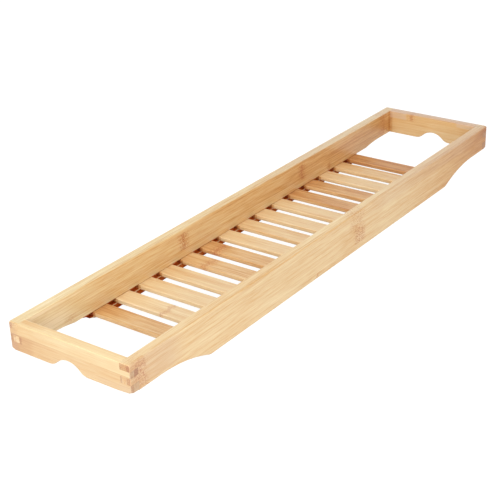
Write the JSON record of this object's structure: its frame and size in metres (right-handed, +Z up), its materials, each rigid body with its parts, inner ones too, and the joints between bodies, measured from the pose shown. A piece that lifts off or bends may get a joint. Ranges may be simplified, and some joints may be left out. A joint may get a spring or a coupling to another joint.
{
  "type": "bath caddy",
  "caption": "Bamboo caddy that spans a bath: a shallow slatted tray in a finger-jointed frame, deep in the middle, with raised ends that rest on the rims.",
  "frame": {"origin": "middle of the footprint at the level that the rails stand on", "axes": "+X along the length, +Y across from the near rail to the far rail, +Z up"},
  "size_m": [0.7, 0.1474, 0.045],
  "materials": {
    "rail_bamboo": "honey bamboo, sanded and lacquered satin, with darker plies and node marks",
    "end_bamboo": "light bamboo, sanded and lacquered satin, with plies along the board",
    "slat_pale": "pale bamboo, sanded, satin",
    "slat_honey": "honey-coloured bamboo, sanded, satin",
    "slat_toasted": "toasted bamboo, darker orange-brown, satin"
  },
  "bodies": {
    "root": {"side_rail_near": "rail_bamboo", "side_rail_far": "rail_bamboo", "end_board_left": "end_bamboo", "end_board_right": "end_bamboo", "slat_01": "slat_honey", "slat_02": "slat_pale", "slat_03": "slat_pale", "slat_04": "slat_pale", "slat_05": "slat_pale", "slat_06": "slat_honey", "slat_07": "slat_pale", "slat_08": "slat_pale", "slat_09": "slat_pale", "slat_10": "slat_pale", "slat_11": "slat_honey", "slat_12": "slat_toasted", "slat_13": "slat_pale", "slat_14": "slat_pale", "slat_15": "slat_toasted"}
  },
  "joints": []
}
